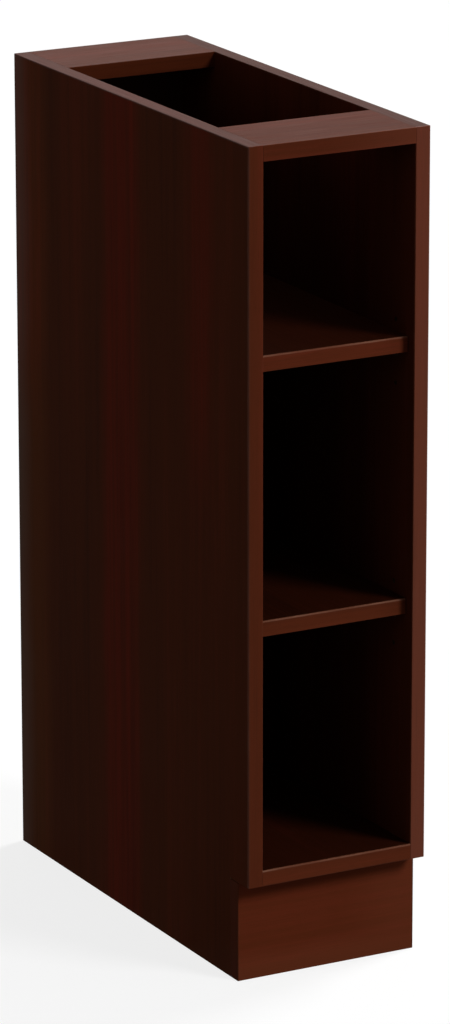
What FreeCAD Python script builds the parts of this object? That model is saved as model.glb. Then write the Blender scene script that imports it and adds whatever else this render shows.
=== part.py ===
import FreeCAD, Part
import os

# Overall size of the unit in millimetres: X across, Y from front to back, Z up from the floor
unit_width = 200.0
unit_depth = 500.0
unit_height = 850.0

# Boards and their edge bands
board = 16.0
back_thickness = 3.0
front_band = 2.0
front_band_round_share = 0.6
thin_band = 1.0
rail_width = 90.0

# Toe notch and plinth
toe_height = 104.0
plinth_recess = 22.0
plinth_top_gap = 1.0

# Shelves, placed by the clear heights above the upper one and below the lower one
upper_room = 194.0
lower_room = 237.0
shelf_set_back = 12.0
shelf_side_gap = 1.0
shelf_rear_gap = 1.0

# Groove for the back panel
groove_to_rear = 16.0
groove_depth = 8.0
groove_play = 0.2
groove_end_gap = 1.0

# Blind holes in the side boards leave this much board behind them and this much air in front
blind_skin = 4.0
hole_end_gap = 1.0

# Rows of holes for the shelf supports, a whole number of pitches apart
hole_pitch = 32.0
front_row_inset = 37.0
rear_row_margin = 25.0
spare_hole_count = 1
peg_hole_radius = 2.5

# Shelf supports
peg_play = 0.05
support_width = 10.0
support_reach = 11.0
support_tray = 1.8
support_collar = 1.2
support_height = 9.0
support_rib = 1.6
support_round = 2.0

# Cam locks, in the underside of the boards
cam_inset = 34.0
cam_hole_radius = 7.5
cam_hole_skin = 3.0
cam_play = 0.1
cam_sunk = 0.3
cam_top_gap = 0.7
cam_cross_width = 1.6
cam_cross_length = 8.0
cam_cross_depth = 1.8

# Cam bolts
bolt_bore_radius = 4.0
thread_hole_radius = 3.0
bolt_play = 0.05
bolt_collar_play = 0.3
bolt_collar_length = 1.5
shank_radius = 2.8
neck_radius = 1.9
head_radius = 3.1
head_length = 2.4
head_room = 0.4

# Dowels
dowel_hole_radius = 4.0
dowel_play = 0.05
dowel_length = 30.0
dowel_chamfer = 1.0

# Places of the cam bolts and dowels: in the bottom board from its front and rear edges, and in the
# rails as shares of the way from the inner edge to the front edge or the groove
bottom_bolt_inset = 60.0
bottom_dowel_inset = 28.0
rail_bolt_share = 0.3
rail_dowel_share = 0.75

# Nails of the back panel
nail_radius = 0.7
nail_hole_play = 0.05
nail_length = 25.0
nail_head_radius = 1.8
nail_head_height = 0.7
nail_inset = 24.0

# Angle brackets behind the plinth
bracket_leg = 30.0
bracket_width = 16.0
bracket_plate = 1.6
bracket_bend = 1.2
bracket_corner = 3.0
bracket_first_hole = 12.0
bracket_hole_spacing = 11.0
bracket_hole_play = 0.3

# Pan head screws of the brackets
screw_radius = 1.6
screw_hole_play = 0.05
screw_length = 12.0
screw_tip_length = 2.5
screw_tip_radius = 0.3
screw_head_radius = 3.2
screw_head_height = 2.2
screw_head_round_share = 0.55
screw_cross_width = 0.8
screw_cross_length = 3.6
screw_cross_depth = 1.2

# Cuts run this far past the faces they open
overrun = 5.0

# Planes that the pieces share
outer_x = -unit_width / 2
inner_x = outer_x + board
front_y = -unit_depth / 2
rear_y = unit_depth / 2
core_front_y = front_y + front_band
notch_y = front_y + plinth_recess + board
plinth_front_y = front_y + plinth_recess
groove_rear_y = rear_y - groove_to_rear
back_rear_y = groove_rear_y - groove_play
back_front_y = back_rear_y - back_thickness
groove_front_y = back_front_y - groove_play
plinth_top_z = toe_height - plinth_top_gap
bottom_top_z = toe_height + board
side_top_z = unit_height - thin_band
rail_under_z = unit_height - board
back_top_z = rail_under_z + groove_depth - groove_end_gap
front_rail_rear_y = front_y + rail_width
rear_rail_front_y = rear_y - rail_width

# Directions
ORIGIN = FreeCAD.Vector(0, 0, 0)
X_AXIS = FreeCAD.Vector(1, 0, 0)
Y_AXIS = FreeCAD.Vector(0, 1, 0)
Z_AXIS = FreeCAD.Vector(0, 0, 1)

# Undersides of the shelves, and the two rows of support holes from front to back
shelf_under_z = {"upper": rail_under_z - upper_room - board, "lower": bottom_top_z + lower_room}
front_row_y = front_y + front_row_inset
row_pitches = (back_front_y - rear_row_margin - front_row_y) // hole_pitch
row_ys = (front_row_y, front_row_y + row_pitches * hole_pitch)

# Blind holes, and what goes into them
blind_depth = board - blind_skin
blind_length = blind_depth - hole_end_gap
cam_hole_depth = board - cam_hole_skin
cam_height = cam_hole_depth - cam_sunk - cam_top_gap
cam_x = inner_x + cam_inset

# Bolts and dowels at the left end of each fixed board, as (y, z) on the middle of its thickness
rail_middle_z = rail_under_z + board / 2
bottom_middle_z = toe_height + board / 2
front_rail_span = core_front_y - front_rail_rear_y
rear_rail_core_y = rear_rail_front_y + front_band
rear_rail_span = groove_front_y - rear_rail_core_y
bolt_places = {
    "front_rail": [(front_rail_rear_y + rail_bolt_share * front_rail_span, rail_middle_z)],
    "rear_rail": [(rear_rail_core_y + rail_bolt_share * rear_rail_span, rail_middle_z)],
    "bottom_board": [
        (core_front_y + bottom_bolt_inset, bottom_middle_z),
        (back_front_y - bottom_bolt_inset, bottom_middle_z),
    ],
}
dowel_places = {
    "front_rail": [(front_rail_rear_y + rail_dowel_share * front_rail_span, rail_middle_z)],
    "rear_rail": [(rear_rail_core_y + rail_dowel_share * rear_rail_span, rail_middle_z)],
    "bottom_board": [
        (core_front_y + bottom_dowel_inset, bottom_middle_z),
        (back_front_y - bottom_dowel_inset, bottom_middle_z),
    ],
}

# Brackets behind the plinth, at the middle of its height
bracket_z = toe_height / 2
bracket_hole_steps = (bracket_first_hole, bracket_first_hole + bracket_hole_spacing)

# An edge runs along a direction when its own direction has this share of it
along_share = 0.9


def block(x_range, y_range, z_range):
    """Box that spans three ranges, each given as (low, high)."""
    (x0, x1), (y0, y1), (z0, z1) = x_range, y_range, z_range
    return Part.makeBox(x1 - x0, y1 - y0, z1 - z0, FreeCAD.Vector(x0, y0, z0))


def about(middle, half):
    """Range of twice the half size about a middle."""
    return (middle - half, middle + half)


def mirrored(shape):
    """Mirror image of a left-hand shape, across the middle of the unit."""
    return shape.mirror(ORIGIN, X_AXIS)


def both_ends(shapes):
    """Left-hand shapes together with their mirror images."""
    return shapes + [mirrored(shape) for shape in shapes]


def edges_along(shape, direction, test):
    """Edges of a shape that run along a direction and whose middle passes a test."""
    chosen = []
    for edge in shape.Edges:
        tangent = edge.tangentAt(edge.FirstParameter)
        if abs(tangent.dot(direction)) > along_share and test(edge.CenterOfMass):
            chosen.append(edge)
    return chosen


def near(point, reach):
    """Test for a middle that lies within reach of a point."""
    return lambda middle: (middle - point).Length < reach


def hole_into_side(radius, depth, y, z):
    """Blind hole in the left side board's inner face, cut from one overrun outside it."""
    mouth = FreeCAD.Vector(inner_x + overrun, y, z)
    return Part.makeCylinder(radius, depth + overrun, mouth, -X_AXIS)


def cross_recess(width, length, depth, top_z):
    """Cross-shaped cut that goes down from a height, for a screwdriver's tip."""
    bar = block(about(0, length / 2), about(0, width / 2), (top_z - depth, top_z + overrun))
    return [bar, bar.rotated(ORIGIN, Z_AXIS, 90)]


def front_strip(x_range, z_range, face_y, along):
    """Edge band on a front edge, with its two long outer edges rounded."""
    strip = block(x_range, (face_y, face_y + front_band), z_range)
    outer = edges_along(strip, along, lambda middle: middle.y < face_y + front_band / 2)
    return strip.makeFillet(front_band_round_share * front_band, outer)


# Boards

def support_holes():
    """Rows of blind holes in the left side board for the shelf supports."""
    holes = []
    for under_z in shelf_under_z.values():
        for step in range(-spare_hole_count, spare_hole_count + 1):
            for y in row_ys:
                z = under_z - support_height / 2 + step * hole_pitch
                holes.append(hole_into_side(peg_hole_radius, blind_depth, y, z))
    return holes


def side_fixing_holes():
    """Blind holes in the left side board for the cam bolts, dowels and bracket screws."""
    holes = []
    for name in bolt_places:
        holes += [hole_into_side(thread_hole_radius, blind_depth, y, z) for y, z in bolt_places[name]]
        holes += [hole_into_side(dowel_hole_radius, blind_depth, y, z) for y, z in dowel_places[name]]
    for step in bracket_hole_steps:
        mouth = FreeCAD.Vector(inner_x + overrun, notch_y + step, bracket_z)
        holes.append(screw_hole(mouth, -X_AXIS))
    return holes


def screw_hole(mouth, direction):
    """Pilot hole for a bracket screw, cut from one overrun outside the board."""
    depth = screw_length - bracket_plate + hole_end_gap + overrun
    return Part.makeCylinder(screw_radius + screw_hole_play, depth, mouth, direction)


def left_side_board():
    """Side board down to the floor, notched for the toes, grooved for the back panel."""
    outline = [
        (core_front_y, toe_height),
        (core_front_y, side_top_z),
        (rear_y, side_top_z),
        (rear_y, 0),
        (notch_y, 0),
        (notch_y, toe_height),
    ]
    points = [FreeCAD.Vector(outer_x, y, z) for y, z in outline]
    panel = Part.Face(Part.makePolygon(points + points[:1])).extrude(X_AXIS * board)
    groove = block(
        (inner_x - groove_depth, inner_x + overrun),
        (groove_front_y, groove_rear_y),
        (-overrun, rail_under_z + groove_depth),
    )
    return panel.cut([groove] + support_holes() + side_fixing_holes())


def end_fixing_cuts(name):
    """Cam holes, bolt bores and dowel holes in both ends of a fixed board."""
    cuts = []
    for y, z in bolt_places[name]:
        under = FreeCAD.Vector(cam_x, y, z - board / 2 - overrun)
        cuts.append(Part.makeCylinder(cam_hole_radius, cam_hole_depth + overrun, under, Z_AXIS))
        end = FreeCAD.Vector(inner_x - overrun, y, z)
        cuts.append(Part.makeCylinder(bolt_bore_radius, cam_inset + overrun, end, X_AXIS))
    for y, z in dowel_places[name]:
        end = FreeCAD.Vector(inner_x - overrun, y, z)
        depth = dowel_length - blind_length + hole_end_gap + overrun
        cuts.append(Part.makeCylinder(dowel_hole_radius, depth, end, X_AXIS))
    return both_ends(cuts)


def front_top_rail():
    """Flat rail between the sides, at the front of the top."""
    rail = block((inner_x, -inner_x), (core_front_y, front_rail_rear_y), (rail_under_z, unit_height))
    return rail.cut(end_fixing_cuts("front_rail"))


def rear_top_rail():
    """Flat rail between the sides, at the rear of the top, grooved below for the back panel."""
    rail = block((inner_x, -inner_x), (rear_rail_core_y, rear_y), (rail_under_z, unit_height))
    groove = block(
        (inner_x - overrun, -inner_x + overrun),
        (groove_front_y, groove_rear_y),
        (rail_under_z - overrun, rail_under_z + groove_depth),
    )
    return rail.cut(end_fixing_cuts("rear_rail") + [groove])


def nail_places():
    """Points on the back panel's rear face where the nails go in."""
    outer_nail_x = inner_x + nail_inset
    return [FreeCAD.Vector(x, back_rear_y, bottom_middle_z) for x in (outer_nail_x, 0, -outer_nail_x)]


def nail_holes():
    """Holes that the nails have made, through the back panel and into the bottom board."""
    holes = []
    for point in nail_places():
        start = point + Y_AXIS * overrun
        holes.append(Part.makeCylinder(nail_radius + nail_hole_play, nail_length + overrun, start, -Y_AXIS))
    return holes


def bottom_board():
    """Bottom board between the sides, from the front band to the back panel."""
    panel = block((inner_x, -inner_x), (core_front_y, back_front_y), (toe_height, bottom_top_z))
    return panel.cut(end_fixing_cuts("bottom_board") + nail_holes())


def back_panel():
    """Thin back panel, held in the grooves and closed off below by the bottom board."""
    half_width = -inner_x + groove_depth - groove_end_gap
    panel = block((-half_width, half_width), (back_front_y, back_rear_y), (toe_height, back_top_z))
    return panel.cut(nail_holes())


def plinth_board():
    """Board that stands in the toe notch and covers the edges of both sides."""
    half_width = unit_width / 2 - thin_band
    panel = block((-half_width, half_width), (plinth_front_y, notch_y), (0, plinth_top_z))
    holes = []
    for step in bracket_hole_steps:
        mouth = FreeCAD.Vector(inner_x + step, notch_y + overrun, bracket_z)
        holes.append(screw_hole(mouth, -Y_AXIS))
    return panel.cut(both_ends(holes))


def shelf(which):
    """Loose shelf that lies on its four supports."""
    half_width = -inner_x - shelf_side_gap
    y_range = (front_y + shelf_set_back + front_band, back_front_y - shelf_rear_gap)
    under_z = shelf_under_z[which]
    return block((-half_width, half_width), y_range, (under_z, under_z + board))


# Edge bands

def left_side_front_band():
    """Thick band on the front edge of the left side board."""
    return front_strip((outer_x, inner_x), (toe_height, unit_height), front_y, Z_AXIS)


def left_side_top_band():
    """Thin band on the top edge of the left side board."""
    return block((outer_x, inner_x), (core_front_y, rear_y), (side_top_z, unit_height))


def rail_band(face_y):
    """Thick band on the edge of a top rail that faces the front."""
    return front_strip((inner_x, -inner_x), (rail_under_z, unit_height), face_y, X_AXIS)


def bottom_board_band():
    """Thick band on the front edge of the bottom board."""
    return front_strip((inner_x, -inner_x), (toe_height, bottom_top_z), front_y, X_AXIS)


def shelf_band(which):
    """Thick band on the front edge of a shelf."""
    half_width = -inner_x - shelf_side_gap
    under_z = shelf_under_z[which]
    face_y = front_y + shelf_set_back
    return front_strip((-half_width, half_width), (under_z, under_z + board), face_y, X_AXIS)


def left_plinth_end_band():
    """Thin band on the left end of the plinth board."""
    return block((outer_x, outer_x + thin_band), (plinth_front_y, notch_y), (0, plinth_top_z))


# Cam locks, bolts and dowels

def cam_lock(y, z):
    """Round cam with a slot for the bolt's neck, a hollow for its head and a cross in its face."""
    face_z = z - board / 2 + cam_sunk
    base = FreeCAD.Vector(cam_x, y, face_z)
    body = Part.makeCylinder(cam_hole_radius - cam_play, cam_height, base, Z_AXIS)
    slot_half = neck_radius + head_room
    hollow_half = head_radius + head_room
    slot = block((cam_x - cam_hole_radius, cam_x), about(y, slot_half), about(z, slot_half))
    hollow = block(about(cam_x, head_length / 2 + head_room), about(y, hollow_half), about(z, hollow_half))
    cuts = [slot, hollow]
    for bar in cross_recess(cam_cross_width, cam_cross_length, cam_cross_depth, 0):
        upright = bar.rotated(ORIGIN, X_AXIS, 180)
        cuts.append(upright.translated(base))
    return body.cut(cuts)


def cam_bolt(y, z):
    """Bolt with a thread in the side board, a collar on its face and a head inside the cam."""
    neck_x = cam_x - cam_hole_radius
    head_x = cam_x - head_length / 2
    face = FreeCAD.Vector(inner_x, y, z)
    thread = Part.makeCylinder(thread_hole_radius - bolt_play, blind_length, face, -X_AXIS)
    collar = Part.makeCylinder(bolt_bore_radius - bolt_collar_play, bolt_collar_length, face, X_AXIS)
    shank = Part.makeCylinder(shank_radius, neck_x - inner_x, face, X_AXIS)
    neck = Part.makeCylinder(neck_radius, head_x - neck_x, FreeCAD.Vector(neck_x, y, z), X_AXIS)
    head = Part.makeCylinder(head_radius, head_length, FreeCAD.Vector(head_x, y, z), X_AXIS)
    return thread.fuse([collar, shank, neck, head])


def dowel(y, z):
    """Wooden dowel with chamfered ends, partly in the side and partly in the board's end."""
    start = FreeCAD.Vector(inner_x - blind_length, y, z)
    peg = Part.makeCylinder(dowel_hole_radius - dowel_play, dowel_length, start, X_AXIS)
    rims = [edge for edge in peg.Edges if edge.isClosed()]
    return peg.makeChamfer(dowel_chamfer, rims)


def fixings(make, places):
    """The same fastener at each place, at both ends of a board."""
    return Part.makeCompound(both_ends([make(y, z) for y, z in places]))


# Shelf supports

def shelf_support(y, under_z):
    """Support with a peg in the side board, a collar, and a ribbed tray under the shelf."""
    low_z = under_z - support_height
    y_range = about(y, support_width / 2)
    tray = block((inner_x, inner_x + support_reach), y_range, (under_z - support_tray, under_z))
    corners = edges_along(tray, Z_AXIS, lambda middle: middle.x > inner_x + support_reach / 2)
    tray = tray.makeFillet(support_round, corners)
    collar = block((inner_x, inner_x + support_collar), y_range, (low_z, under_z))
    feet = edges_along(collar, X_AXIS, lambda middle: middle.z < low_z + support_height / 2)
    collar = collar.makeFillet(support_round, feet)
    rib_y = y - support_rib / 2
    rib_points = [
        FreeCAD.Vector(inner_x, rib_y, under_z),
        FreeCAD.Vector(inner_x + support_reach - support_round, rib_y, under_z),
        FreeCAD.Vector(inner_x + support_reach - support_round, rib_y, under_z - support_tray),
        FreeCAD.Vector(inner_x + support_collar, rib_y, low_z + support_round),
        FreeCAD.Vector(inner_x, rib_y, low_z + support_round),
    ]
    rib = Part.Face(Part.makePolygon(rib_points + rib_points[:1])).extrude(Y_AXIS * support_rib)
    face = FreeCAD.Vector(inner_x, y, under_z - support_height / 2)
    peg = Part.makeCylinder(peg_hole_radius - peg_play, blind_length, face, -X_AXIS)
    return peg.fuse([collar, tray, rib]).removeSplitter()


def shelf_supports(which):
    """The four supports of one shelf."""
    return Part.makeCompound(both_ends([shelf_support(y, shelf_under_z[which]) for y in row_ys]))


# Plinth brackets, screws and nails

def left_plinth_bracket():
    """Steel angle in the corner between the plinth board and the left side board."""
    corner_x = inner_x + bracket_plate
    corner_y = notch_y + bracket_plate
    z_range = about(bracket_z, bracket_width / 2)
    plinth_leg = block((inner_x, inner_x + bracket_leg), (notch_y, corner_y), z_range)
    side_leg = block((inner_x, corner_x), (notch_y, notch_y + bracket_leg), z_range)
    angle = plinth_leg.fuse(side_leg).removeSplitter()
    inside = near(FreeCAD.Vector(corner_x, corner_y, bracket_z), bracket_plate / 2)
    angle = angle.makeFillet(bracket_bend, edges_along(angle, Z_AXIS, inside))
    outside = near(FreeCAD.Vector(inner_x, notch_y, bracket_z), bracket_plate / 2)
    angle = angle.makeFillet(bracket_bend + bracket_plate, edges_along(angle, Z_AXIS, outside))
    ends = edges_along(angle, Y_AXIS, lambda middle: middle.x > inner_x + bracket_leg / 2)
    ends += edges_along(angle, X_AXIS, lambda middle: middle.y > notch_y + bracket_leg / 2)
    angle = angle.makeFillet(bracket_corner, ends)
    radius = screw_radius + bracket_hole_play
    depth = bracket_plate + 2 * overrun
    holes = []
    for step in bracket_hole_steps:
        through_plinth_leg = FreeCAD.Vector(inner_x + step, notch_y - overrun, bracket_z)
        through_side_leg = FreeCAD.Vector(inner_x - overrun, notch_y + step, bracket_z)
        holes.append(Part.makeCylinder(radius, depth, through_plinth_leg, Y_AXIS))
        holes.append(Part.makeCylinder(radius, depth, through_side_leg, X_AXIS))
    return angle.cut(holes)


def pan_screw(seat, direction):
    """Screw whose head rests on a seat and whose shank points along a direction."""
    straight = screw_length - screw_tip_length
    shank = Part.makeCylinder(screw_radius, straight, ORIGIN, -Z_AXIS)
    tip = Part.makeCone(screw_radius, screw_tip_radius, screw_tip_length, -Z_AXIS * straight, -Z_AXIS)
    head = Part.makeCylinder(screw_head_radius, screw_head_height, ORIGIN, Z_AXIS)
    rim = [edge for edge in head.Edges if edge.isClosed() and edge.CenterOfMass.z > 0]
    head = head.makeFillet(screw_head_round_share * screw_head_height, rim)
    screw = shank.fuse([tip, head]).removeSplitter()
    recess = cross_recess(screw_cross_width, screw_cross_length, screw_cross_depth, screw_head_height)
    screw = screw.cut(recess)
    screw.Placement = FreeCAD.Placement(seat, FreeCAD.Rotation(-Z_AXIS, direction))
    return screw


def left_bracket_screws():
    """Two screws into the plinth board and two into the left side board."""
    screws = []
    for step in bracket_hole_steps:
        on_plinth_leg = FreeCAD.Vector(inner_x + step, notch_y + bracket_plate, bracket_z)
        on_side_leg = FreeCAD.Vector(inner_x + bracket_plate, notch_y + step, bracket_z)
        screws += [pan_screw(on_plinth_leg, -Y_AXIS), pan_screw(on_side_leg, -X_AXIS)]
    return Part.makeCompound(screws)


def back_panel_nails():
    """Nails through the back panel into the rear edge of the bottom board."""
    nails = []
    for point in nail_places():
        shank = Part.makeCylinder(nail_radius, nail_length, point, -Y_AXIS)
        head = Part.makeCylinder(nail_head_radius, nail_head_height, point, Y_AXIS)
        nails.append(shank.fuse(head).removeSplitter())
    return Part.makeCompound(nails)


def all_pieces():
    """Every piece of the unit, by name."""
    pieces = {
        "left_side_board": left_side_board(),
        "bottom_board": bottom_board(),
        "front_top_rail": front_top_rail(),
        "rear_top_rail": rear_top_rail(),
        "back_panel": back_panel(),
        "plinth_board": plinth_board(),
        "left_side_front_band": left_side_front_band(),
        "left_side_top_band": left_side_top_band(),
        "front_rail_band": rail_band(front_y),
        "rear_rail_band": rail_band(rear_rail_front_y),
        "bottom_board_band": bottom_board_band(),
        "left_plinth_end_band": left_plinth_end_band(),
        "left_plinth_bracket": left_plinth_bracket(),
        "left_bracket_screws": left_bracket_screws(),
        "back_panel_nails": back_panel_nails(),
    }
    for name in list(pieces):
        if name.startswith("left_"):
            pieces[name.replace("left_", "right_")] = mirrored(pieces[name])
    for which in shelf_under_z:
        pieces[which + "_shelf"] = shelf(which)
        pieces[which + "_shelf_band"] = shelf_band(which)
        pieces[which + "_shelf_supports"] = shelf_supports(which)
    for name in bolt_places:
        pieces[name + "_cam_locks"] = fixings(cam_lock, bolt_places[name])
        pieces[name + "_cam_bolts"] = fixings(cam_bolt, bolt_places[name])
        pieces[name + "_dowels"] = fixings(dowel, dowel_places[name])
    return pieces


os.makedirs("parts", exist_ok=True)
for piece_name, piece in all_pieces().items():
    piece.exportStep(os.path.join("parts", piece_name + ".step"))
    print(piece_name, len(piece.Solids), "solids, valid" if piece.isValid() else "solids, NOT valid")
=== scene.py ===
# %% [markdown]
# # An open kitchen base cabinet, 200 mm wide
# The cabinet is a box of faced chipboard: two sides, a bottom, two flat rails at the top, two loose
# shelves, a thin back and a plinth in a notch for the toes. The solids of every piece are loaded
# first, already in their places. We keep the ones whose shape is right and only give them a finish.
# The edge bands and the shelf supports are built anew, because their small roundings catch the
# light.

# %% Load the solids
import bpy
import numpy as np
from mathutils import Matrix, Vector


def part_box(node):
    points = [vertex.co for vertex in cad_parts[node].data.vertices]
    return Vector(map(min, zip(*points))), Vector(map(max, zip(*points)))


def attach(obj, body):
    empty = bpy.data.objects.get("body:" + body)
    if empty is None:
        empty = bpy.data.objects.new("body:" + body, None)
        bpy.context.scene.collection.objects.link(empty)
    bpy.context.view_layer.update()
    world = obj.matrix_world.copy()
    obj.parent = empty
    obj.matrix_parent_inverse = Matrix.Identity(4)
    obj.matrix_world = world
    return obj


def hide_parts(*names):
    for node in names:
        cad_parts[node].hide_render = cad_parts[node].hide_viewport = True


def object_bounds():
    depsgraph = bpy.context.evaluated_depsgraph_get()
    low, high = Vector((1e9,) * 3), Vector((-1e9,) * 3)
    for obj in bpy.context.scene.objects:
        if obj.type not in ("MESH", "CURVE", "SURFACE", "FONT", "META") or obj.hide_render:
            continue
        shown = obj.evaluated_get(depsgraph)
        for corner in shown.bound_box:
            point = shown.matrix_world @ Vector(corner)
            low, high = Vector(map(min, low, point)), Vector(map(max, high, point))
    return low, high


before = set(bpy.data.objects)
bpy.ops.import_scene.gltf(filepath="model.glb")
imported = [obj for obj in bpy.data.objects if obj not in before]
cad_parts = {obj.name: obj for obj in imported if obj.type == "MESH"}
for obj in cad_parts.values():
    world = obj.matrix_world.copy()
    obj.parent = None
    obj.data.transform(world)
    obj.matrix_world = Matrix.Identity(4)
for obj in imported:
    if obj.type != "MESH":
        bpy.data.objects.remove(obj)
cad_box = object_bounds()

# %% [markdown]
# Every length in this scene is in metres. The solids say where a piece begins and ends, so most
# places below are read from their boxes and not typed.

MM = 0.001
AXES = "XYZ"


def node_box(node):
    """Lowest and highest corner of a solid, as two arrays."""
    low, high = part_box(node)
    return np.array(low), np.array(high)


unit_low, unit_high = (np.array(corner) for corner in cad_box)
print("the unit is", np.round((unit_high - unit_low) / MM, 1), "mm wide, deep and high")

# %% [markdown]
# ## Surfaces from numbers
# A band or a support has a surface with two parameters: one runs around a section, the other along
# a path. Blender's own cubes and cylinders would give sharp, equal edges. Working the points out as
# arrays lets each section have the rounding that the real piece has, and keeps the faces even.


# %% A closed surface from rings
def closed_surface(rings):
    """Points and faces of a closed surface.

    rings has the shape (number of rings, points around, 3). Each ring is joined to the next by
    four-sided faces, and the first and the last ring are each filled with one flat face.
    """
    count, around = rings.shape[:2]
    ring, step = np.meshgrid(np.arange(count - 1), np.arange(around), indexing="ij")
    beside = (step + 1) % around
    corners = [ring * around + step, ring * around + beside,
               (ring + 1) * around + beside, (ring + 1) * around + step]
    quads = np.stack(corners, axis=-1).reshape(-1, 4).tolist()
    caps = [list(range(around))[::-1], list(range((count - 1) * around, count * around))]
    return rings.reshape(-1, 3), quads + caps


# %% [markdown]
# A face has an outer side, and a mirrored or turned section can put it inwards. The signed volume
# tells: the volume between each face and a middle point, added up, is positive when the faces
# point out.


# %% Faces that point outwards
def pointing_out(points, faces):
    """The faces as they are, or turned round if the volume inside them comes out negative.

    The volume is the sum of a . (b x c) / 6 over the triangles that fan out from each face's first
    point.
    """
    fans = np.array([(face[0], face[i], face[i + 1])
                     for face in faces for i in range(1, len(face) - 1)])
    a, b, c = ((points - points.mean(axis=0))[fans[:, k]] for k in range(3))
    volume = np.einsum("ij,ij->", a, np.cross(b, c)) / 6
    return faces if volume > 0 else [face[::-1] for face in faces]


# %% [markdown]
# Several surfaces can make one object, such as the four supports of a shelf. Their points are put
# one after the other, and the faces of each are counted on from there. Each surface also carries
# one number for each point, its wear, which is 1 on an arris that hands and goods rub against; on
# the bands the same number also places a painted highlight. At the end the object is told what it
# stands in for, what it is made of, and which body it moves with: the upper shelf, the lower shelf
# or the carcass.

# %% One object from several surfaces
SMOOTH_BELOW = np.radians(32)


def make_piece(name, surfaces, finish, body, replaced):
    """Object made of closed surfaces (rings, wear), smooth where faces meet at a small angle.

    It stands in for the solids named in replaced.
    """
    points, faces, wear_and_highlight, start = [], [], [], 0
    for rings, ring_wear in surfaces:
        surface_points, surface_faces = closed_surface(rings)
        surface_faces = pointing_out(surface_points, surface_faces)
        points.append(surface_points)
        wear_and_highlight.append(np.broadcast_to(ring_wear, rings.shape[:2]).reshape(-1))
        faces += [[index + start for index in face] for face in surface_faces]
        start += len(surface_points)
    mesh = bpy.data.meshes.new(name)
    mesh.from_pydata(np.concatenate(points).tolist(), [], faces)
    mesh.polygons.foreach_set("use_smooth", np.ones(len(faces), bool))
    mesh.set_sharp_from_angle(angle=SMOOTH_BELOW)
    worn = mesh.attributes.new("wear_and_highlight", "FLOAT", "POINT")
    worn.data.foreach_set("value", np.concatenate(wear_and_highlight).astype(np.float32))
    mesh.materials.append(finish)
    piece = bpy.data.objects.new(name, mesh)
    bpy.context.scene.collection.objects.link(piece)
    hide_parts(*replaced)
    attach(piece, body)
    print(name, "has", len(faces), "faces")


# %% [markdown]
# ## Finishes from nodes
# A finish could be a picture wrapped round each piece, but a picture has edges and a size. Here
# every finish is procedural: it is worked out from the place on the piece, so it has no seams. One
# small class adds nodes and joins their inputs, so that each recipe reads downwards.

# %% Helpers for finishes
BLACK = (0.0, 0.0, 0.0, 1.0)


class Recipe:
    """A material and the nodes that are added to it."""

    def __init__(self, name, specular, metallic=0.0):
        self.material = bpy.data.materials.new(name)
        self.material.use_nodes = True
        self.tree = self.material.node_tree
        self.shader = self.tree.nodes["Principled BSDF"]
        self.shader.inputs["Specular IOR Level"].default_value = specular
        self.shader.inputs["Metallic"].default_value = metallic
        self.place = self.add("ShaderNodeTexCoord").outputs["Object"]

    def add(self, kind, joins=None, **options):
        """Adds a node with its options, and joins or fills the inputs named in joins."""
        made = self.tree.nodes.new(kind)
        for option, value in options.items():
            setattr(made, option, value)
        for socket, value in (joins or {}).items():
            self.join(value, made.inputs[socket])
        return made

    def join(self, value, socket):
        """Joins an output to an input, or fills the input with a number or colour."""
        if isinstance(value, bpy.types.NodeSocket):
            self.tree.links.new(value, socket)
        else:
            socket.default_value = value

    def math(self, operation, a, b=0.0):
        """One sum, product or other operation on two numbers."""
        return self.add("ShaderNodeMath", {0: a, 1: b}, operation=operation).outputs[0]

    def blend(self, share, a, b):
        """Number a at share 0 and number b at share 1."""
        return self.add("ShaderNodeMix", {0: share, 2: a, 3: b}).outputs[0]

    def mix(self, share, a, b, how="MIX"):
        """Colour a at share 0 and colour b at share 1."""
        joins = {0: share, 6: a, 7: b}
        return self.add("ShaderNodeMix", joins, data_type="RGBA", blend_type=how).outputs[2]

    def tinted(self, colour, tint):
        """The colour times a tint, part by part."""
        return self.mix(1.0, colour, tint, "MULTIPLY")

    def paler(self, colour, share, added):
        """The colour plus a share of another one."""
        return self.mix(1.0, colour, self.mix(share, BLACK, added), "ADD")

    def between(self, value, low, high, to_low=0.0, to_high=1.0):
        """Smooth step of a value: to_low up to low, to_high from high on."""
        joins = {0: value, 1: low, 2: high, 3: to_low, 4: to_high}
        return self.add("ShaderNodeMapRange", joins, interpolation_type="SMOOTHSTEP").outputs[0]

    def stretched(self, scale, shift=(0.0, 0.0, 0.0)):
        """The place, moved by shift in metres, then counted in scale units for each metre."""
        joins = {0: self.place, 1: [s * k for s, k in zip(shift, scale)], 3: scale}
        return self.add("ShaderNodeMapping", joins).outputs[0]

    def noise(self, scale, shift=(0.0, 0.0, 0.0), detail=2.0, roughness=0.5, distortion=0.0):
        """Soft noise from 0 to 1, with about scale blobs for each metre along each axis."""
        joins = {"Vector": self.stretched(scale, shift), "Scale": 1.0, "Detail": detail,
                 "Roughness": roughness, "Distortion": distortion}
        return self.add("ShaderNodeTexNoise", joins).outputs[0]

    def coordinate(self, axis):
        """Place along one axis of the unit, in metres."""
        return self.add("ShaderNodeSeparateXYZ", {0: self.place}).outputs[axis]

    def wear_and_highlight(self):
        """Wear number of a piece's points; on the bands it also places a painted highlight."""
        return self.add("ShaderNodeAttribute", attribute_name="wear_and_highlight").outputs["Fac"]

    def finish(self, colour, roughness, height=None, depth=0.1 * MM, strength=0.3):
        """Joins colour, roughness and bump height to the shader, and gives back the material."""
        self.join(colour, self.shader.inputs["Base Color"])
        self.join(roughness, self.shader.inputs["Roughness"])
        if height is not None:
            joins = {"Height": height, "Distance": depth, "Strength": strength}
            bump = self.add("ShaderNodeBump", joins)
            self.join(bump.outputs[0], self.shader.inputs["Normal"])
        print(self.material.name, "is a finish of", len(self.tree.nodes), "nodes")
        return self.material


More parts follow.
